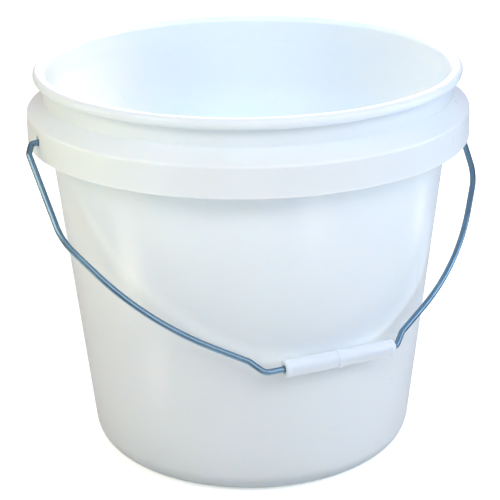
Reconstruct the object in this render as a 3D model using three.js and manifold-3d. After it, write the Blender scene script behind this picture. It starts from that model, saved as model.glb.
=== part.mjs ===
// White plastic fermenting bucket (2 gallon class) with a swinging wire bail and a plastic hand grip.
// Millimetres, +Z up. Origin: centre of the base. The bail's hinge line is parallel to X, through the two ears.
// The bail hangs down against the front wall, towards -Y.
import * as THREE from 'three';
import { mergeVertices } from 'three/addons/utils/BufferGeometryUtils.js';
import Module from 'manifold-3d';

// ---------------------------------------------------------------- driving dimensions
const SEGMENTS = 64;            // facets round the bucket

const HEIGHT = 237.6;           // foot to rim top
const BASE_R = 97.0;            // outer wall line carried down to z = 0
const TAPER = 0.1093;           // outward run of the wall per mm of height
const WALL = 1.95;              // side wall thickness
const CORNER_R = 16.2;          // outer bottom corner
const CORNER_IN_R = 14.2;       // inner bottom corner
const FLOOR_T = 2.2;            // floor thickness
const PUSH_UP = 2.6;            // height of the recessed underside
const FOOT_IN_R = 77.5;         // inner edge of the foot ring
const GATE_R = 3.8;             // moulding gate stub on the underside

const BAND_TOP_R = 131.25;      // outer radius of the handle band at its top edge
const BAND_LOW_R = 131.45;      // and at its open lower edge
const BAND_TOP_Z = 212.8;
const BAND_LOW_Z = 195.4;
const BAND_T = 1.9;
const BAND_EDGE_R = 2.6;        // rounding between band and shoulder
const CREASE_R = 121.8;         // where the sloping shoulder meets the neck
const CREASE_Z = 220.3;
const NECK_R = 121.2;
const NECK_IN_R = 119.25;

const BEAD_R = 3.1;             // rolled rim bead
const BEAD_C_R = 123.6;
const RIM_LAND = 0.8;           // half width of the flat on top of the rim

const GUSSETS = 16;             // webs hidden between wall and band
const GUSSET_T = 1.6;

const EAR_Z = 204.8;            // hinge line
const EAR_HOLE_R = 3.15;
const EAR_LIFT = 0.95;          // the wire hangs low in its hole: the hole's centre is this far above the hinge line
const EAR_BOSS_R = 7.2;
const EAR_BOSS_T = 1.9;

const WIRE_R = 1.8;             // 3.6 mm bail wire
const REST_ANGLE = 45.5;        // degrees below horizontal, at rest on the wall
const WIRE_SIDES = 12;
// half outline of the bail in its own plane: distance from the centre line, distance from the hinge line, bend radius
const TAIL_X = 124.2;
const TAIL_LEN = 7.5;
const BAIL_REACH = 161.0;
const BAIL = [
  [TAIL_X, -TAIL_LEN, 0, 0],
  [TAIL_X, 0, 3.2, 5],
  [134.2, 0, 3.0, 4],
  [137.3, 6.5, 4.0, 3],
  [132.9, 62.7, 40, 6],
  [99.2, 119.1, 176, 9],
  [48.2, 152.9, 7.5, 4],
  [41.4, BAIL_REACH, 6.5, 4],
  [0, BAIL_REACH, 0, 0],
];
const BAIL_SHIFT = -0.7;        // the bail has slid a little to -X in its two holes

const GRIP_R = 5.1;
const GRIP_BORE_R = 2.3;
const GRIP_LEN = 69.0;
const GRIP_SHIFT = 4.0;         // the grip has slid to +X along the wire's straight, up to its bend
const RING_R = 5.45;            // raised ring at the grip's middle
const RING_W = 4.0;
const GRIP_SIDES = 28;

// ---------------------------------------------------------------- helpers
const wasm = await Module();
wasm.setup();

const rad = (d) => (d * Math.PI) / 180;

// closed indexed geometry with shared vertices, no collapsed triangles, and faces pointing out
function weld(source) {
  let g = source.clone();
  g.deleteAttribute('normal');
  g.deleteAttribute('uv');
  g = mergeVertices(g, 1e-4);
  const p = g.attributes.position;
  const idx = [];
  let volume = 0;
  const a = new THREE.Vector3(), b = new THREE.Vector3(), c = new THREE.Vector3();
  for (let i = 0; i < g.index.count; i += 3) {
    const [i0, i1, i2] = [g.index.getX(i), g.index.getX(i + 1), g.index.getX(i + 2)];
    if (i0 === i1 || i1 === i2 || i0 === i2) continue;
    a.fromBufferAttribute(p, i0); b.fromBufferAttribute(p, i1); c.fromBufferAttribute(p, i2);
    volume += a.dot(b.cross(c)) / 6;
    idx.push(i0, i1, i2);
  }
  if (volume < 0) for (let i = 0; i < idx.length; i += 3) [idx[i], idx[i + 1]] = [idx[i + 1], idx[i]];
  g.setIndex(idx);
  return g;
}

function solid(source) {
  const g = weld(source);
  return new wasm.Manifold(new wasm.Mesh({
    numProp: 3,
    vertProperties: new Float32Array(g.attributes.position.array),
    triVerts: new Uint32Array(g.index.array),
  }));
}

function geometryOf(manifold) {
  const m = manifold.getMesh();
  const g = new THREE.BufferGeometry();
  const n = m.vertProperties.length / m.numProp;
  const xyz = new Float32Array(n * 3);
  for (let i = 0; i < n; i++) for (let k = 0; k < 3; k++) xyz[3 * i + k] = m.vertProperties[m.numProp * i + k];
  g.setAttribute('position', new THREE.BufferAttribute(xyz, 3));
  g.setIndex(Array.from(m.triVerts));
  return g;
}

// points on a circle in the (radius, height) plane, angles in degrees, both ends included
function arc(cr, cz, r, from, to, steps) {
  const out = [];
  for (let i = 0; i <= steps; i++) {
    const t = rad(from + ((to - from) * i) / steps);
    out.push([cr + r * Math.cos(t), cz + r * Math.sin(t)]);
  }
  return out;
}

// turned solid about Z
function turned(profile, segments) {
  const g = new THREE.LatheGeometry(profile.map(([r, z]) => new THREE.Vector2(Math.max(r, 0), z)), segments);
  g.rotateX(Math.PI / 2);
  return g;
}

function named(name, geometry, material) {
  const mesh = new THREE.Mesh(geometry, material);
  mesh.name = name;
  return mesh;
}

// ---------------------------------------------------------------- bucket shell
const wallR = (z) => BASE_R + TAPER * z;
const wallInR = (z) => BASE_R - WALL + TAPER * z;
const lean = (Math.atan(TAPER) * 180) / Math.PI;
const sec = Math.sqrt(1 + TAPER * TAPER);
const cornerR = wallR(CORNER_R) - CORNER_R * sec;
const cornerInR = wallInR(FLOOR_T + CORNER_IN_R) - CORNER_IN_R * sec;
const beadZ = HEIGHT - BEAD_R;

// the shoulder slopes from the crease down to the band
const slope = Math.atan2(CREASE_Z - BAND_TOP_Z, BAND_TOP_R - CREASE_R);     // about 43 degrees
const slopeDeg = (slope * 180) / Math.PI;
// rounding between shoulder and band: tangent to both
const edgeC = (() => {
  const r = BAND_TOP_R - BAND_EDGE_R;
  const nx = Math.sin(slope), nz = Math.cos(slope);
  const d = (BAND_TOP_R - 0.25) * nx + (BAND_TOP_Z + 0.1) * nz - BAND_EDGE_R;   // offset line
  return [r, (d - r * nx) / nz];
})();

const profile = [
  // underside, from the axis outwards
  [0, PUSH_UP - 0.9],
  [GATE_R - 0.5, PUSH_UP - 0.9],
  [GATE_R, PUSH_UP],
  [FOOT_IN_R - 2.6, PUSH_UP],
  [FOOT_IN_R - 0.9, PUSH_UP - 0.8],
  [FOOT_IN_R, 0],
  // foot ring, bottom corner and outer wall
  ...arc(cornerR, CORNER_R, CORNER_R, 270, 360 - lean, 6),
  [wallR(120), 120],
  [wallR(BAND_LOW_Z), BAND_LOW_Z],
  // pocket between the wall and the handle band
  [wallR(216.0), 216.0],
  [121.9, 217.5],
  [BAND_TOP_R - BAND_T - 0.9, 212.0],
  [BAND_TOP_R - BAND_T, 210.8],
  [BAND_LOW_R - BAND_T + 0.1, BAND_LOW_Z + 0.6],
  [BAND_LOW_R - BAND_T + 0.6, BAND_LOW_Z],
  [BAND_LOW_R - 0.6, BAND_LOW_Z],
  [BAND_LOW_R, BAND_LOW_Z + 0.6],
  // band face, rounded edge, shoulder, crease, neck
  ...arc(edgeC[0], edgeC[1], BAND_EDGE_R, 0, 90 - slopeDeg, 3),
  [CREASE_R + 0.75, CREASE_Z - 0.55],
  [NECK_R, CREASE_Z + 0.9],
  [NECK_R, beadZ - Math.sqrt(BEAD_R ** 2 - (BEAD_C_R - NECK_R) ** 2)],
  // rim bead
  ...arc(BEAD_C_R, beadZ, BEAD_R, 270, 360, 4),
  ...arc(BEAD_C_R, beadZ, BEAD_R, 22, 66, 2),
  [BEAD_C_R + RIM_LAND, HEIGHT],
  [BEAD_C_R - RIM_LAND, HEIGHT],
  [121.6, HEIGHT - 0.45],
  [120.3, HEIGHT - 1.5],
  [NECK_IN_R, HEIGHT - 3.4],
  // inside
  [NECK_IN_R, CREASE_Z + 0.4],
  [wallInR(120), 120],
  ...arc(cornerInR, FLOOR_T + CORNER_IN_R, CORNER_IN_R, 360 - lean, 270, 5),
  [FOOT_IN_R + 1.2, FLOOR_T],
  [FOOT_IN_R - 2.2, FLOOR_T + PUSH_UP],
  [0, FLOOR_T + PUSH_UP],
];

let pail = solid(turned(profile, SEGMENTS));

// webs between wall and band, clear of the two ears
const web = new THREE.Shape([
  [wallR(200) - 0.7, 200.0], [BAND_LOW_R - 1.0, 202.0], [BAND_TOP_R - 1.0, 210.9], [wallR(217) + 0.5, 219.0], [wallR(217) - 0.9, 219.0],
].map(([r, z]) => new THREE.Vector2(r, z)));
for (let i = 0; i < GUSSETS; i++) {
  const g = new THREE.ExtrudeGeometry(web, { depth: GUSSET_T, bevelEnabled: false, steps: 1 });
  g.translate(0, 0, -GUSSET_T / 2);
  g.rotateX(Math.PI / 2);
  g.rotateZ(rad((360 / GUSSETS) * (i + 0.5) + 0.4));
  pail = pail.add(solid(g));
}

// the two ears: a thickened pad behind the band, and a round hole for the wire
for (const side of [1, -1]) {
  const from = BAND_TOP_R - BAND_T - EAR_BOSS_T, to = BAND_TOP_R - 0.95;
  const boss = new THREE.CylinderGeometry(EAR_BOSS_R, EAR_BOSS_R, to - from, 28, 1);
  boss.rotateZ(Math.PI / 2);
  boss.translate((side * (from + to)) / 2, 0, EAR_Z + EAR_LIFT);
  pail = pail.add(solid(boss));
  const hole = new THREE.CylinderGeometry(EAR_HOLE_R, EAR_HOLE_R, 9, 24, 1);
  hole.rotateZ(Math.PI / 2);
  hole.translate(side * 130, 0, EAR_Z + EAR_LIFT);
  pail = pail.subtract(solid(hole));
}

// ---------------------------------------------------------------- bail wire
// polyline with rounded corners, as a list of [x, v] points in the bail's own plane
function rounded(corners) {
  const out = [new THREE.Vector2(corners[0][0], corners[0][1])];
  for (let i = 1; i < corners.length - 1; i++) {
    const A = new THREE.Vector2(...corners[i - 1].slice(0, 2));
    const B = new THREE.Vector2(...corners[i].slice(0, 2));
    const C = new THREE.Vector2(...corners[i + 1].slice(0, 2));
    const [, , R, steps] = corners[i];
    const d1 = A.clone().sub(B).normalize(), d2 = C.clone().sub(B).normalize();
    const half = Math.acos(THREE.MathUtils.clamp(d1.dot(d2), -1, 1)) / 2;
    const p1 = B.clone().addScaledVector(d1, R / Math.tan(half));
    const p2 = B.clone().addScaledVector(d2, R / Math.tan(half));
    const O = B.clone().addScaledVector(d1.clone().add(d2).normalize(), R / Math.sin(half));
    const a1 = Math.atan2(p1.y - O.y, p1.x - O.x);
    let da = Math.atan2(p2.y - O.y, p2.x - O.x) - a1;
    if (da > Math.PI) da -= 2 * Math.PI;
    if (da < -Math.PI) da += 2 * Math.PI;
    for (let k = 0; k <= steps; k++) {
      const t = a1 + (da * k) / steps;
      out.push(new THREE.Vector2(O.x + R * Math.cos(t), O.y + R * Math.sin(t)));
    }
  }
  const last = corners[corners.length - 1];
  out.push(new THREE.Vector2(last[0], last[1]));
  return out;
}

const halfBail = rounded(BAIL);
// bail plane to space: x stays, v runs down and out to -Y
const hang = rad(REST_ANGLE);
const inPlane = (x, v) => new THREE.Vector3(x, -v * Math.cos(hang), EAR_Z - v * Math.sin(hang));
const bailPoints = [
  ...halfBail.map((p) => inPlane(BAIL_SHIFT - p.x, p.y)),
  ...halfBail.slice(0, -1).reverse().map((p) => inPlane(BAIL_SHIFT + p.x, p.y)),
];

// a curve through given stations, one step for each
class Stations extends THREE.Curve {
  constructor(points) { super(); this.points = points; }
  getUtoTmapping(u) { return u; }
  getPoint(t, target = new THREE.Vector3()) {
    const n = this.points.length - 1;
    const x = Math.min(Math.max(t, 0), 1) * n;
    const i = Math.min(Math.floor(x + 1e-9), n - 1);
    return target.copy(this.points[i]).lerp(this.points[i + 1], x - i);
  }
}

const section = new THREE.Shape(Array.from({ length: WIRE_SIDES }, (_, i) => {
  const t = (2 * Math.PI * i) / WIRE_SIDES;
  return new THREE.Vector2(WIRE_R * Math.cos(t), WIRE_R * Math.sin(t));
}));
const wire = new THREE.ExtrudeGeometry(section, {
  steps: bailPoints.length - 1,
  extrudePath: new Stations(bailPoints),
  bevelEnabled: false,
});

// ---------------------------------------------------------------- hand grip
const h = GRIP_LEN / 2;
const gripProfile = [
  [GRIP_BORE_R, -h + 0.5], [GRIP_BORE_R + 0.5, -h], [GRIP_R - 1.1, -h], [GRIP_R - 0.32, -h + 0.36], [GRIP_R, -h + 1.1],
  [GRIP_R, -RING_W / 2 - 0.3], [RING_R, -RING_W / 2], [RING_R, RING_W / 2], [GRIP_R, RING_W / 2 + 0.3],
  [GRIP_R, h - 1.1], [GRIP_R - 0.32, h - 0.36], [GRIP_R - 1.1, h], [GRIP_BORE_R + 0.5, h], [GRIP_BORE_R, h - 0.5],
  [GRIP_BORE_R, -h + 0.5],
];
const sleeve = turned(gripProfile, GRIP_SIDES);
sleeve.rotateY(Math.PI / 2);

// ---------------------------------------------------------------- scene graph
const hdpe = new THREE.MeshStandardMaterial({ color: 0xe4ebee, roughness: 0.42, metalness: 0 });
const steel = new THREE.MeshStandardMaterial({ color: 0x8d98a3, roughness: 0.3, metalness: 1 });
const white = new THREE.MeshStandardMaterial({ color: 0xe9eef4, roughness: 0.38, metalness: 0 });

const pailMesh = named('pail', geometryOf(pail), hdpe);
const wireMesh = named('bail_wire', weld(wire), steel);
const gripMesh = named('hand_grip', weld(sleeve), white);
const gripAt = inPlane(GRIP_SHIFT, BAIL_REACH);
gripMesh.position.set(gripAt.x, gripAt.y, gripAt.z);

const handle = new THREE.Group();
handle.add(wireMesh, gripMesh);

const bucket = new THREE.Group();
bucket.add(pailMesh, handle);

export default bucket;
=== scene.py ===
import math

import bpy
import numpy as np
from mathutils import Matrix, Vector


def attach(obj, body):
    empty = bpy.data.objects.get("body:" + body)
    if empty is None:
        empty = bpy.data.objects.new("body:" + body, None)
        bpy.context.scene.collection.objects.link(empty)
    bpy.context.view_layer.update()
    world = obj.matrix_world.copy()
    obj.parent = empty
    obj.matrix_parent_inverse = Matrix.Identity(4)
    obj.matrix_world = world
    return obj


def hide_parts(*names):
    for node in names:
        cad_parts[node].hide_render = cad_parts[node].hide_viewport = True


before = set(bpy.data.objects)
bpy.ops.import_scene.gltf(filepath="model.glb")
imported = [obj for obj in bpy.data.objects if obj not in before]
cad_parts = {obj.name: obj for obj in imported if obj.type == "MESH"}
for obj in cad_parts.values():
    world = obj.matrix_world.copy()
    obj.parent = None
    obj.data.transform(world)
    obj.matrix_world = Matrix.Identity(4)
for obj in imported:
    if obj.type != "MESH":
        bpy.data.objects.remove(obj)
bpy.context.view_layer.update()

MM = 0.001

# ------------------------------------------------------------------ dimensions, the same as the CAD part's, in mm
HEIGHT = 237.6
BASE_R, TAPER, WALL = 97.0, 0.1093, 1.95
CORNER_R, CORNER_IN_R = 16.2, 14.2
FLOOR_T, PUSH_UP, FOOT_IN_R = 2.2, 2.6, 77.5
BAND_TOP_R, BAND_LOW_R, BAND_TOP_Z, BAND_LOW_Z, BAND_T = 131.25, 131.45, 212.8, 195.4, 1.9
CREASE_R, CREASE_Z, NECK_R, NECK_IN_R = 121.8, 220.3, 121.2, 119.25
BEAD_R, BEAD_C_R = 3.1, 123.6
EAR_Z, EAR_LIFT, EAR_HOLE_R, EAR_BOSS_R, EAR_BOSS_T = 204.8, 0.95, 3.15, 7.2, 1.9
WIRE_R, REST_ANGLE = 1.8, 45.5
TAIL_X, TAIL_LEN, REACH, BAIL_SHIFT = 124.2, 7.5, 161.0, -0.7
GRIP_R, GRIP_BORE_R, GRIP_LEN, GRIP_SHIFT, RING_R = 5.1, 2.3, 69.0, 4.0, 5.45


def wall_r(z):
    return BASE_R + TAPER * z


def wall_in_r(z):
    return BASE_R - WALL + TAPER * z


# ------------------------------------------------------------------ mesh helpers
def rounded(corners, seg=6):
    """Polyline (a, b, radius) with its corners rounded, as a list of (a, b)."""
    out = [tuple(corners[0][:2])]
    for i in range(1, len(corners) - 1):
        A, B, C = (np.array(corners[k][:2], float) for k in (i - 1, i, i + 1))
        R = corners[i][2] if len(corners[i]) > 2 else 0
        n = corners[i][3] if len(corners[i]) > 3 else seg
        if R <= 0:
            out.append(tuple(B))
            continue
        d1, d2 = (A - B) / np.linalg.norm(A - B), (C - B) / np.linalg.norm(C - B)
        half = math.acos(float(np.clip(d1 @ d2, -1, 1))) / 2
        p1, p2 = B + d1 * R / math.tan(half), B + d2 * R / math.tan(half)
        bis = (d1 + d2) / np.linalg.norm(d1 + d2)
        O = B + bis * R / math.sin(half)
        a1 = math.atan2(p1[1] - O[1], p1[0] - O[0])
        da = (math.atan2(p2[1] - O[1], p2[0] - O[0]) - a1 + math.pi) % (2 * math.pi) - math.pi
        for k in range(n + 1):
            t = a1 + da * k / n
            out.append((O[0] + R * math.cos(t), O[1] + R * math.sin(t)))
    out.append(tuple(corners[-1][:2]))
    return out


def arc(cr, cz, r, a0, a1, n):
    return [(cr + r * math.cos(math.radians(a0 + (a1 - a0) * k / n)), cz + r * math.sin(math.radians(a0 + (a1 - a0) * k / n))) for k in range(n + 1)]


def split_long(points, step):
    """Adds points on long straight runs, so that no face is very long."""
    out = [points[0]]
    for a, b in zip(points, points[1:]):
        n = max(1, int(math.ceil(math.dist(a, b) / step)))
        out += [(a[0] + (b[0] - a[0]) * k / n, a[1] + (b[1] - a[1]) * k / n) for k in range(1, n + 1)]
    return out


def mesh_object(name, verts, faces, smooth=40):
    me = bpy.data.meshes.new(name)
    me.from_pydata([tuple(float(c) * MM for c in v) for v in verts], [], faces)
    me.validate()
    me.update()
    ob = bpy.data.objects.new(name, me)
    bpy.context.scene.collection.objects.link(ob)
    finish_mesh(ob, smooth)
    return ob


def finish_mesh(ob, smooth=40):
    me = ob.data
    me.shade_smooth()
    me.set_sharp_from_angle(angle=math.radians(smooth))


def volume(verts, faces):
    v = np.array(verts, float)
    total = 0.0
    for f in faces:
        for i in range(1, len(f) - 1):
            total += float(np.dot(v[f[0]], np.cross(v[f[i]], v[f[i + 1]])))
    return total / 6


def outward(verts, faces):
    return faces if volume(verts, faces) > 0 else [tuple(reversed(f)) for f in faces]


def turned(profile, segs, closed=False):
    """Solid of revolution about Z from (radius, height) points: open profiles start and end on the axis."""
    verts, rings = [], []
    for r, z in profile:
        if r < 1e-6:
            rings.append([len(verts)])
            verts.append((0, 0, z))
        else:
            start = len(verts)
            for k in range(segs):
                t = 2 * math.pi * k / segs
                verts.append((r * math.cos(t), r * math.sin(t), z))
            rings.append(list(range(start, start + segs)))
    faces = []
    pairs = list(zip(rings, rings[1:])) + ([(rings[-1], rings[0])] if closed else [])
    for a, b in pairs:
        for k in range(segs):
            j = (k + 1) % segs
            if len(a) == 1 and len(b) == 1:
                continue
            if len(a) == 1:
                faces.append((a[0], b[k], b[j]))
            elif len(b) == 1:
                faces.append((a[k], b[0], a[j]))
            else:
                faces.append((a[k], b[k], b[j], a[j]))
    return verts, outward(verts, faces)


def turned_x(profile, segs, x, y, z):
    """A turned solid laid along X."""
    verts, faces = turned(profile, segs)
    verts = [(v[2] + x, v[1] + y, -v[0] + z) for v in verts]
    return verts, outward(verts, faces)


def boolean(ob, tool, how):
    m = ob.modifiers.new("cut", "BOOLEAN")
    m.operation = how
    m.object = tool
    m.solver = "EXACT"
    bpy.context.view_layer.update()
    me = bpy.data.meshes.new_from_object(ob.evaluated_get(bpy.context.evaluated_depsgraph_get()))
    ob.modifiers.clear()
    old = ob.data
    ob.data = me
    bpy.data.meshes.remove(old)
    bpy.data.objects.remove(tool)
    me.name = ob.name


# ------------------------------------------------------------------ the pail
lean = math.degrees(math.atan(TAPER))
sec = math.sqrt(1 + TAPER * TAPER)
corner_r = wall_r(CORNER_R) - CORNER_R * sec
corner_in_r = wall_in_r(FLOOR_T + CORNER_IN_R) - CORNER_IN_R * sec
bead_z = HEIGHT - BEAD_R
slope = (CREASE_Z - BAND_TOP_Z) / (BAND_TOP_R - CREASE_R)


def pail_profile():
    p = []
    # underside and foot ring
    p += rounded([(0, PUSH_UP - 0.9), (3.2, PUSH_UP - 0.9, 0.35, 4), (3.9, PUSH_UP, 0.35, 4), (FOOT_IN_R - 1.6, PUSH_UP, 1.6, 8), (FOOT_IN_R - 0.4, 0, 0.7, 5), (corner_r, 0)])
    # bottom corner and wall
    p += arc(corner_r, CORNER_R, CORNER_R, 270, 360 - lean, 20)[1:]
    # behind the band, then the band's open lower edge, its face, the rounded edge, the shoulder, the crease and the neck
    p += rounded([
        (wall_r(40), 40), (wall_r(217.6), 217.6, 1.2, 6), (BAND_TOP_R - BAND_T, 211.4, 1.2, 6),
        (BAND_LOW_R - BAND_T, BAND_LOW_Z, 0.6, 5), (BAND_LOW_R, BAND_LOW_Z, 0.75, 6),
        (BAND_TOP_R, BAND_TOP_Z + 0.25, 2.4, 12), (CREASE_R - 0.45, CREASE_Z + 0.36, 1.5, 8), (NECK_R, beads[0][1] - 0.1, 0.4, 4),
        beads[1]])
    p += beads[2:]
    # inside: the lip, the neck, the wall and the floor with its step over the foot ring
    p += rounded([
        (BEAD_C_R - 0.6, HEIGHT), (121.9, HEIGHT, 1.0, 5), (NECK_IN_R, HEIGHT - 2.1, 2.4, 9), (NECK_IN_R, CREASE_Z, 20, 4), (wall_in_r(40), 40)])
    p += arc(corner_in_r, FLOOR_T + CORNER_IN_R, CORNER_IN_R, 360 - lean, 270, 16)
    p += rounded([(FOOT_IN_R + 2.4, FLOOR_T), (FOOT_IN_R + 1.0, FLOOR_T, 2.0, 5), (FOOT_IN_R - 2.4, FLOOR_T + PUSH_UP, 2.0, 5), (0, FLOOR_T + PUSH_UP)])
    clean = [p[0]]
    for q in p[1:]:
        if math.dist(q, clean[-1]) > 0.02:
            clean.append(q)
    return split_long(clean, 9.0)


beads = arc(BEAD_C_R, bead_z, BEAD_R, 227, 443, 30)
verts, faces = turned(pail_profile(), 288)
pail = mesh_object("pail_shell", verts, faces)

# webs and ear pads behind the band, one tool, joined on
tool_v, tool_f = [], []


def add_part(verts, faces):
    n = len(tool_v)
    tool_v.extend(verts)
    tool_f.extend(tuple(i + n for i in f) for f in outward(verts, faces))


web = [(wall_r(200) - 0.7, 200.0), (BAND_LOW_R - 1.0, 202.0), (BAND_TOP_R - 1.0, 210.9), (wall_r(217) + 0.5, 219.0), (wall_r(217) - 0.9, 219.0)]
for i in range(16):
    t = math.radians(360 / 16 * (i + 0.5) + 0.4)
    c, s = math.cos(t), math.sin(t)
    v = [(r * c - w * s, r * s + w * c, z) for w in (-0.8, 0.8) for r, z in web]
    n = len(web)
    f = [tuple(range(n)), tuple(reversed(range(n, 2 * n)))] + [(k, (k + 1) % n + 0, (k + 1) % n + n, k + n) for k in range(n)]
    v2 = np.array(v)
    # consistent winding: front, back and sides
    f = [tuple(reversed(range(n))), tuple(range(n, 2 * n))] + [(k, (k + 1) % n, (k + 1) % n + n, k + n) for k in range(n)]
    add_part(v, f)
for side in (1, -1):
    a, b = BAND_TOP_R - BAND_T - EAR_BOSS_T, BAND_TOP_R - 0.95
    prof = rounded([(0, a), (EAR_BOSS_R, a, 0.5, 5), (EAR_BOSS_R, b), (0, b)])
    prof = [(r, side * h) for r, h in prof]
    add_part(*turned_x(prof, 64, 0, 0, EAR_Z + EAR_LIFT))
tool = mesh_object("tool", tool_v, tool_f)
boolean(pail, tool, "UNION")

# the two ear holes, with softened mouths
tool_v, tool_f = [], []
for side in (1, -1):
    prof = rounded([(0, 124.0), (EAR_HOLE_R + 0.6, 124.0), (EAR_HOLE_R + 0.6, 127.25), (EAR_HOLE_R, 127.8, 0.4, 4), (EAR_HOLE_R, 130.95, 0.4, 5), (EAR_HOLE_R + 0.4, 131.35), (EAR_HOLE_R + 0.4, 135.0), (0, 135.0)])
    prof = [(r, side * h) for r, h in prof]
    add_part(*turned_x(prof, 72, 0, 0, EAR_Z + EAR_LIFT))
tool = mesh_object("tool", tool_v, tool_f)
boolean(pail, tool, "DIFFERENCE")
finish_mesh(pail, 32)

# ------------------------------------------------------------------ the bail wire
hang = math.radians(REST_ANGLE)


def in_plane(x, v):
    return np.array([x, -v * math.cos(hang), EAR_Z - v * math.sin(hang)])


half = rounded([
    (TAIL_X, -TAIL_LEN), (TAIL_X, 0, 3.2, 14), (134.2, 0, 3.0, 12), (137.3, 6.5, 4.0, 8), (132.9, 62.7, 40, 22), (99.2, 119.1, 176, 34),
    (48.2, 152.9, 7.5, 12), (41.4, REACH, 6.5, 12), (0, REACH)])
half = [half[0]] + split_long(half[0:], 6.0)[1:]
plane = [(BAIL_SHIFT - x, v) for x, v in half] + [(BAIL_SHIFT + x, v) for x, v in reversed(half[:-1])]


def swept_wire(points, radius, sides):
    """A round wire along points in the bail's plane, with softly cut ends and a map: u round it, v along it in metres."""
    P = np.array([in_plane(x, v) for x, v in points])
    T = np.gradient(P, axis=0)
    seg = np.linalg.norm(np.diff(P, axis=0), axis=1)
    for i in range(1, len(P) - 1):
        a, b = (P[i] - P[i - 1]) / seg[i - 1], (P[i + 1] - P[i]) / seg[i]
        T[i] = a + b
    T /= np.linalg.norm(T, axis=1)[:, None]
    N = np.array([0.0, math.sin(hang), -math.cos(hang)])      # the plane's normal
    length = np.concatenate([[0], np.cumsum(seg)])
    rings = []                                                # (centre, scale, run)
    c = 0.45
    rings += [(P[0] + T[0] * (c * (1 - math.sin(t))), radius - c * (1 - math.cos(t)), length[0]) for t in (math.pi / 2, math.pi / 3, math.pi / 6)]
    rings[0] = (P[0], radius - c, length[0])
    rings[1] = (P[0] + T[0] * 0.13, radius - 0.2, length[0])
    rings[2] = (P[0] + T[0] * c, radius, length[0] + c)
    frames = [(T[0], )] * 3
    rings = [(p, r, l, T[0]) for p, r, l in rings]
    for i in range(1, len(P) - 1):
        rings.append((P[i], radius, length[i], T[i]))
    rings += [(P[-1] - T[-1] * c, radius, length[-1] - c, T[-1]), (P[-1] - T[-1] * 0.13, radius - 0.2, length[-1], T[-1]), (P[-1], radius - c, length[-1], T[-1])]
    verts, faces, uv = [], [], []
    for p, r, l, t in rings:
        B = np.cross(t, N)
        for k in range(sides):
            a = 2 * math.pi * k / sides
            verts.append(p + r * (math.cos(a) * N + math.sin(a) * B))
    for i in range(len(rings) - 1):
        for k in range(sides):
            j = (k + 1) % sides
            faces.append((i * sides + k, (i + 1) * sides + k, (i + 1) * sides + j, i * sides + j))
            uv.append([(k / sides, rings[i][2]), (k / sides, rings[i + 1][2]), ((k + 1) / sides, rings[i + 1][2]), ((k + 1) / sides, rings[i][2])])
    n = len(rings)
    faces.append(tuple(range(sides)))
    uv.append([(k / sides, rings[0][2]) for k in range(sides)])
    faces.append(tuple((n - 1) * sides + k for k in reversed(range(sides))))
    uv.append([(k / sides, rings[-1][2]) for k in reversed(range(sides))])
    if volume(verts, faces) < 0:
        faces = [tuple(reversed(f)) for f in faces]
        uv = [list(reversed(q)) for q in uv]
    return verts, faces, uv


verts, faces, uv = swept_wire(plane, WIRE_R - 0.03, 24)
wire = mesh_object("bail_wire_bent", verts, faces, 50)
layer = wire.data.uv_layers.new(name="run")
flat = [c for f in uv for c in f]
for loop, c in zip(layer.data, flat):
    loop.uv = (c[0], c[1] * MM * 100)

# ------------------------------------------------------------------ the hand grip
h = GRIP_LEN / 2
ring = 1.75
gp = rounded([
    (GRIP_BORE_R, 0), (GRIP_BORE_R, -h, 0.5, 4), (GRIP_R, -h, 0.9, 7), (GRIP_R, -h + 2.6, 0.3, 3), (GRIP_R - 0.2, -h + 3.0, 0.4, 3),
    (GRIP_R - 0.2, -ring - 0.35, 0.25, 3), (RING_R - 0.02, -ring, 0.4, 5), (RING_R - 0.02, ring, 0.4, 5), (GRIP_R - 0.2, ring + 0.35, 0.25, 3),
    (GRIP_R - 0.2, h - 3.0, 0.4, 3), (GRIP_R, h - 2.6, 0.3, 3), (GRIP_R, h, 0.9, 7), (GRIP_BORE_R, h, 0.5, 4), (GRIP_BORE_R, 0)])[:-1]
gp = split_long(gp + [gp[0]], 3.0)[:-1]
verts, faces = turned(gp, 96, closed=True)
at = in_plane(GRIP_SHIFT, REACH)
verts = [(v[2] + at[0], v[1] + at[1], -v[0] + at[2]) for v in verts]
grip = mesh_object("hand_grip_sleeve", verts, outward(verts, faces), 40)


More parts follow.
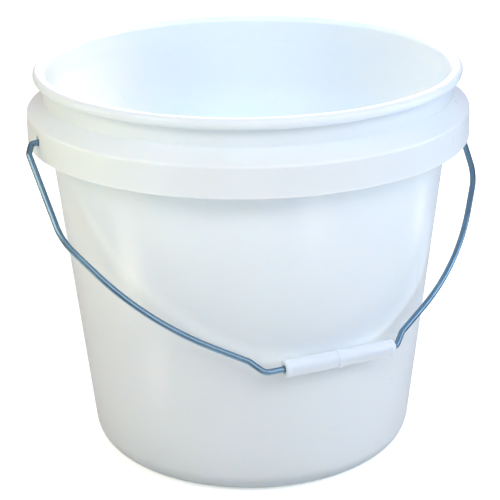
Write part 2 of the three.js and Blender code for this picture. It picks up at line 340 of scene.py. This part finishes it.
# ------------------------------------------------------------------ materials
class Nodes:
    def __init__(self, name):
        self.mat = bpy.data.materials.new(name)
        self.mat.use_nodes = True
        self.tree = self.mat.node_tree
        self.tree.nodes.clear()
        self.out = self.add("ShaderNodeOutputMaterial")
        self.bsdf = self.add("ShaderNodeBsdfPrincipled")
        self.link(self.bsdf.outputs[0], self.out.inputs["Surface"])

    def add(self, kind, **values):
        n = self.tree.nodes.new(kind)
        for k, v in values.items():
            setattr(n, k, v)
        return n

    def link(self, a, b):
        self.tree.links.new(a, b)

    def coords(self, which="Object", scale=(1, 1, 1)):
        c = self.add("ShaderNodeTexCoord")
        m = self.add("ShaderNodeMapping")
        m.inputs["Scale"].default_value = scale
        self.link(c.outputs[which], m.inputs["Vector"])
        return m.outputs["Vector"]

    def noise(self, vector, scale, detail=2.0, rough=0.5):
        n = self.add("ShaderNodeTexNoise")
        n.inputs["Scale"].default_value = scale
        n.inputs["Detail"].default_value = detail
        n.inputs["Roughness"].default_value = rough
        self.link(vector, n.inputs["Vector"])
        return n.outputs["Fac"]

    def spread(self, value, lo, hi, to_lo, to_hi):
        n = self.add("ShaderNodeMapRange")
        for k, v in (("From Min", lo), ("From Max", hi), ("To Min", to_lo), ("To Max", to_hi)):
            n.inputs[k].default_value = v
        self.link(value, n.inputs["Value"])
        return n.outputs["Result"]

    def ramp(self, value, stops):
        n = self.add("ShaderNodeValToRGB")
        el = n.color_ramp.elements
        while len(el) < len(stops):
            el.new(0.5)
        for e, (pos, col) in zip(el, stops):
            e.position = pos
            e.color = (*col, 1)
        self.link(value, n.inputs["Fac"])
        return n.outputs["Color"]

    def bump(self, height, strength, distance, normal=None):
        n = self.add("ShaderNodeBump")
        n.inputs["Strength"].default_value = strength
        n.inputs["Distance"].default_value = distance
        self.link(height, n.inputs["Height"])
        if normal is not None:
            self.link(normal, n.inputs["Normal"])
        return n.outputs["Normal"]


def hdpe():
    m = Nodes("natural_white_hdpe")
    b = m.bsdf
    v = m.coords()
    cloud = m.noise(v, 9.0, 3.0, 0.55)
    m.link(m.ramp(cloud, [(0.3, (0.75, 0.812, 0.842)), (0.7, (0.775, 0.832, 0.86))]), b.inputs["Base Color"])
    # satin, a little uneven, with faint drawn marks that run up the wall
    fine = m.noise(v, 140.0, 3.0, 0.6)
    marks = m.noise(m.coords(scale=(1, 1, 0.06)), 420.0, 2.0, 0.5)
    rough = m.add("ShaderNodeMath", operation="MULTIPLY_ADD")
    m.link(m.spread(marks, 0.25, 0.75, 0.0, 1.0), rough.inputs[0])
    rough.inputs[1].default_value = 0.012
    m.link(m.spread(fine, 0.3, 0.7, 0.27, 0.31), rough.inputs[2])
    m.link(rough.outputs[0], b.inputs["Roughness"])
    b.inputs["IOR"].default_value = 1.5
    b.inputs["Specular IOR Level"].default_value = 0.34
    b.inputs["Subsurface Weight"].default_value = 0.85
    b.inputs["Subsurface Radius"].default_value = (0.85, 1.0, 1.15)
    b.inputs["Subsurface Scale"].default_value = 0.0038
    n1 = m.bump(m.noise(v, 26.0, 2.0, 0.5), 0.12, 0.0012)
    n2 = m.bump(m.noise(v, 900.0, 2.0, 0.5), 0.05, 0.0001, n1)
    m.link(n2, b.inputs["Normal"])
    return m.mat


def zinc():
    m = Nodes("zinc_plated_steel_wire")
    b = m.bsdf
    b.inputs["Metallic"].default_value = 1.0
    v = m.coords()
    uvn = m.coords("UV", (6.0, 1.0, 1.0))
    patch = m.noise(v, 60.0, 3.0, 0.6)
    m.link(m.ramp(patch, [(0.3, (0.15, 0.25, 0.345)), (0.7, (0.185, 0.30, 0.405))]), b.inputs["Base Color"])
    lines = m.noise(uvn, 3.0, 4.0, 0.65)
    rough = m.add("ShaderNodeMath", operation="MULTIPLY_ADD")
    m.link(lines, rough.inputs[0])
    rough.inputs[1].default_value = 0.1
    m.link(m.spread(patch, 0.3, 0.7, 0.25, 0.33), rough.inputs[2])
    m.link(rough.outputs[0], b.inputs["Roughness"])
    m.link(m.bump(lines, 0.25, 0.00006), b.inputs["Normal"])
    return m.mat


def grip_white():
    m = Nodes("white_grip_plastic")
    b = m.bsdf
    v = m.coords()
    cloud = m.noise(v, 60.0, 3.0, 0.5)
    m.link(m.ramp(cloud, [(0.3, (0.69, 0.765, 0.84)), (0.7, (0.73, 0.80, 0.87))]), b.inputs["Base Color"])
    m.link(m.spread(m.noise(v, 300.0, 3.0, 0.6), 0.3, 0.7, 0.28, 0.38), b.inputs["Roughness"])
    b.inputs["IOR"].default_value = 1.49
    b.inputs["Specular IOR Level"].default_value = 0.35
    b.inputs["Subsurface Weight"].default_value = 0.7
    b.inputs["Subsurface Radius"].default_value = (0.9, 1.0, 1.1)
    b.inputs["Subsurface Scale"].default_value = 0.003
    m.link(m.bump(m.noise(m.coords(scale=(0.15, 1, 1)), 500.0, 2.0, 0.5), 0.08, 0.00012), b.inputs["Normal"])
    return m.mat


def floor_material():
    m = Nodes("pale_floor")
    b = m.bsdf
    m.link(m.ramp(m.noise(m.coords(), 1.5, 2.0, 0.5), [(0.3, (0.945, 0.945, 0.945)), (0.7, (0.96, 0.96, 0.96))]), b.inputs["Base Color"])
    b.inputs["Roughness"].default_value = 0.85
    # a lit tabletop, so that the pail's own shadow stays faint
    b.inputs["Emission Color"].default_value = (0.93, 1.0, 0.97, 1)
    b.inputs["Emission Strength"].default_value = 0.48
    return m.mat


for ob, mat, node, body, slot in (
    (pail, hdpe(), "pail", "pail", "pail_plastic"),
    (wire, zinc(), "bail_wire", "bail", "wire_steel"),
    (grip, grip_white(), "hand_grip", "grip", "grip_plastic"),
):
    ob.data.materials.clear()
    ob.data.materials.append(mat)
    for p in ob.data.polygons:
        p.material_index = 0
    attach(ob, body)
    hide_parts(node)

# ------------------------------------------------------------------ floor, light, camera
me = bpy.data.meshes.new("floor")
me.from_pydata([(-6, -6, 0), (6, -6, 0), (6, 6, 0), (-6, 6, 0)], [], [(0, 1, 2, 3)])
floor = bpy.data.objects.new("floor", me)
bpy.context.scene.collection.objects.link(floor)
floor.data.materials.append(floor_material())
# the pale floor shows to the camera only; what the pail gets from below comes from the studio around it
floor.visible_diffuse = False
floor.visible_glossy = False
floor.visible_transmission = False
floor.visible_shadow = False


# a grey card lies just under the floor's surface, below the pail: it never shows, and shades the foot
def card_material():
    m = Nodes("grey_card")
    m.link(m.ramp(m.noise(m.coords(), 4.0, 2.0, 0.5), [(0.3, (0.62, 0.64, 0.64)), (0.7, (0.66, 0.68, 0.68))]), m.bsdf.inputs["Base Color"])
    m.bsdf.inputs["Roughness"].default_value = 0.9
    return m.mat



# the camera stands 24 degrees to the left of the bail's middle
TURN = math.radians(24.0)
K = 1.067 * MM
DIST, RISE, PITCH, ROLL, FOCAL = 901.55 * K, 447.31 * K, 0.357384, -0.0136, 1665.7


def turn(v):
    c, s = math.cos(TURN), math.sin(TURN)
    return Vector((c * v[0] + s * v[1], -s * v[0] + c * v[1], v[2]))


card_at = turn((-0.006, -0.003, 0))
me = bpy.data.meshes.new("card")
me.from_pydata([(card_at.x + 0.106 * math.cos(math.radians(5 * k)), card_at.y + 0.106 * math.sin(math.radians(5 * k)), -0.001) for k in range(72)], [], [tuple(range(72))])
card = bpy.data.objects.new("card", me)
bpy.context.scene.collection.objects.link(card)
card.data.materials.append(card_material())
card.visible_camera = False

fwd = Vector((0, math.cos(PITCH), -math.sin(PITCH)))
right = Vector((1, 0, 0))
up = right.cross(fwd)
r2 = math.cos(ROLL) * right + math.sin(ROLL) * up
u2 = -math.sin(ROLL) * right + math.cos(ROLL) * up
cam_data = bpy.data.cameras.new("camera")
cam_data.sensor_width = 36
cam_data.lens = FOCAL / 500 * 36
cam_data.clip_start, cam_data.clip_end = 0.05, 50
cam = bpy.data.objects.new("camera", cam_data)
bpy.context.scene.collection.objects.link(cam)
X, Y, Z = turn(r2), turn(u2), turn(-fwd)
cam.matrix_world = Matrix.Translation(turn((0, -DIST, RISE))) @ Matrix((X, Y, Z)).transposed().to_4x4()
bpy.context.scene.camera = cam


def area(name, place, target, size, spread, power, colour):
    """place and target are given with the camera straight ahead along +Y, then turned with it."""
    d = bpy.data.lights.new(name, "AREA")
    d.shape = "RECTANGLE"
    d.size, d.size_y = size
    d.spread = math.radians(spread)
    d.energy = power
    d.color = colour
    o = bpy.data.objects.new(name, d)
    bpy.context.scene.collection.objects.link(o)
    o.visible_camera = False
    p, t = turn(place), turn(target)
    o.location = p
    o.rotation_euler = (t - p).to_track_quat("-Z", "Y").to_euler()
    return o


LIGHTS = (  # name, place, aimed at, size, spread, watts, colour
    ("back", (0, 2.2, 1.2), (0, 0, 0.15), (1.4, 1), 180, 22.11, (0.9764, 1.0100, 0.9170)),
    ("front_high", (0.3, -1.6, 1.6), (0, 0, 0.12), (0.8, 0.8), 180, 9.5, (0.9837, 0.9656, 1.0000)),
    ("front_low", (0.1, -2.2, 0.5), (0, 0, 0.12), (1.4, 0.4), 180, 5.4, (1.02, 0.965, 0.97)),
    ("into_mouth", (0.1, -0.8, 1.6), (0, 0.03, 0.2376), (0.06, 0.06), 10, 0.065, (0.32, 0.62, 1.0)),
    ("into_mouth_right", (0.75, -0.4, 1.6), (-0.085, 0.02, 0.215), (0.06, 0.06), 6, 0.0405, (1.0, 0.85, 0.72)),
    ("into_mouth_left", (-0.75, -0.4, 1.6), (0.085, 0.01, 0.22), (0.06, 0.06), 6, 0.0235, (1.0, 1.0, 0.93)),
    ("left_high", (-1.5, -1.2, 1.5), (0, 0, 0.12), (0.9, 0.9), 180, 15.52, (1.0300, 0.9999, 0.9840)),
    ("right_high", (1.5, -1.2, 1.5), (0, 0, 0.12), (0.9, 0.9), 180, 12.25, (0.9414, 0.9575, 1.0000)),
    ("card_front_left", (-0.38, -0.42, 0.25), (0, 0, 0.19), (0.3, 0.08), 180, 0.03946, (0.9682, 1.0100, 0.0000)),
    ("card_front_right", (0.38, -0.42, 0.25), (0, 0, 0.19), (0.3, 0.08), 180, 0.2468, (0.6685, 0.7201, 1.0000)),
    ("card_left", (-0.5, -0.1, 0.25), (0, 0, 0.19), (0.3, 0.08), 180, 0.4461, (1.08, 0.84, 0.44)),
    ("card_right", (0.5, -0.1, 0.25), (0, 0, 0.19), (0.3, 0.08), 180, 0.8564, (0.59, 0.76, 1.0)),
    ("lip_front", (0, -0.6, 0.06), (0, -0.12, 0.2), (0.25, 0.05), 24, 0.006493, (0.6262, 0.7050, 1.0000)),
    ("lip_front_left", (-0.45, -0.42, 0.06), (-0.08, -0.09, 0.2), (0.25, 0.05), 24, 0.006593, (0.7622, 1.0039, 1.0000)),
    ("lip_left", (-0.6, -0.1, 0.06), (-0.12, 0, 0.2), (0.25, 0.05), 24, 0.008247, (0.8600, 1.0100, 0.5270)),
)
GLOW = (  # the studio around the pail: direction, tightness, colour
    ((0, 1, 0.3), 3, (0.4297, 0.2877, 0.4256)),
    ((0, 0, -1), 2, (2.1218, 2.0810, 2.0349)),
    ((0, 0, 1), 2, (0.6710, 0.6426, 0.6561)),
)
GLINTS = (  # small low windows that only show as soft highlights on the wall
    ("glint_left", (-0.263, -0.120, 0.026), (-0.067, -0.090, 0.141), (0.05, 0.03), 180, 0.05, (1, 0.86, 0.66)),
    ("glint_left_low", (-0.155, -0.129, 0.008), (-0.054, -0.091, 0.082), (0.03, 0.02), 180, 0.0126, (1, 0.95, 0.85)),
    ("glint_middle", (0.039, -0.307, 0.049), (0.008, -0.116, 0.172), (0.015, 0.015), 180, 0.015, (0.9, 0.95, 1)),
    ("glint_middle_right", (0.157, -0.265, 0.060), (0.034, -0.111, 0.179), (0.02, 0.02), 180, 0.0329, (0.95, 0.97, 1)),
    ("glint_right_high", (0.266, 0.065, 0.071), (0.098, -0.061, 0.165), (0.03, 0.03), 180, 0.012, (0.95, 0.97, 1)),
    ("glint_right", (0.258, 0.068, 0.023), (0.094, -0.058, 0.125), (0.02, 0.04), 180, 0.00581, (0.9, 0.95, 1)),
    ("glint_right_edge", (0.225, 0.127, 0.041), (0.102, -0.044, 0.133), (0.02, 0.05), 180, 0.00597, (0.85, 0.93, 1)),
)
for row in LIGHTS:
    area(*row)
for row in GLINTS:
    area(*row).visible_diffuse = False

world = bpy.data.worlds.new("studio")
bpy.context.scene.world = world
world.use_nodes = True
nodes, links = world.node_tree.nodes, world.node_tree.links
nodes.clear()
out = nodes.new("ShaderNodeOutputWorld")
where = nodes.new("ShaderNodeTexCoord")
total = None
for axis, n, colour in GLOW:
    bg = nodes.new("ShaderNodeBackground")
    bg.inputs["Color"].default_value = (*[c / max(colour) for c in colour], 1)
    if axis is None:
        bg.inputs["Strength"].default_value = max(colour)
    else:
        dot = nodes.new("ShaderNodeVectorMath")
        dot.operation = "DOT_PRODUCT"
        links.new(where.outputs["Generated"], dot.inputs[0])
        dot.inputs[1].default_value = turn(Vector(axis).normalized())
        top = nodes.new("ShaderNodeMath")
        top.operation = "MAXIMUM"
        links.new(dot.outputs["Value"], top.inputs[0])
        top.inputs[1].default_value = 0.0
        power = nodes.new("ShaderNodeMath")
        power.operation = "POWER"
        links.new(top.outputs[0], power.inputs[0])
        power.inputs[1].default_value = n
        scale = nodes.new("ShaderNodeMath")
        scale.operation = "MULTIPLY"
        links.new(power.outputs[0], scale.inputs[0])
        scale.inputs[1].default_value = max(colour)
        links.new(scale.outputs[0], bg.inputs["Strength"])
    if total is None:
        total = bg.outputs[0]
    else:
        both = nodes.new("ShaderNodeAddShader")
        links.new(total, both.inputs[0])
        links.new(bg.outputs[0], both.inputs[1])
        total = both.outputs[0]
# beyond the floor's edge the camera sees a plain pale backdrop
pale = nodes.new("ShaderNodeBackground")
pale.inputs["Color"].default_value = (0.93, 0.94, 0.95, 1)
pale.inputs["Strength"].default_value = 0.95
path = nodes.new("ShaderNodeLightPath")
seen = nodes.new("ShaderNodeMixShader")
links.new(path.outputs["Is Camera Ray"], seen.inputs[0])
links.new(total, seen.inputs[1])
links.new(pale.outputs[0], seen.inputs[2])
links.new(seen.outputs[0], out.inputs["Surface"])
bpy.context.scene.view_settings.view_transform = "Standard"
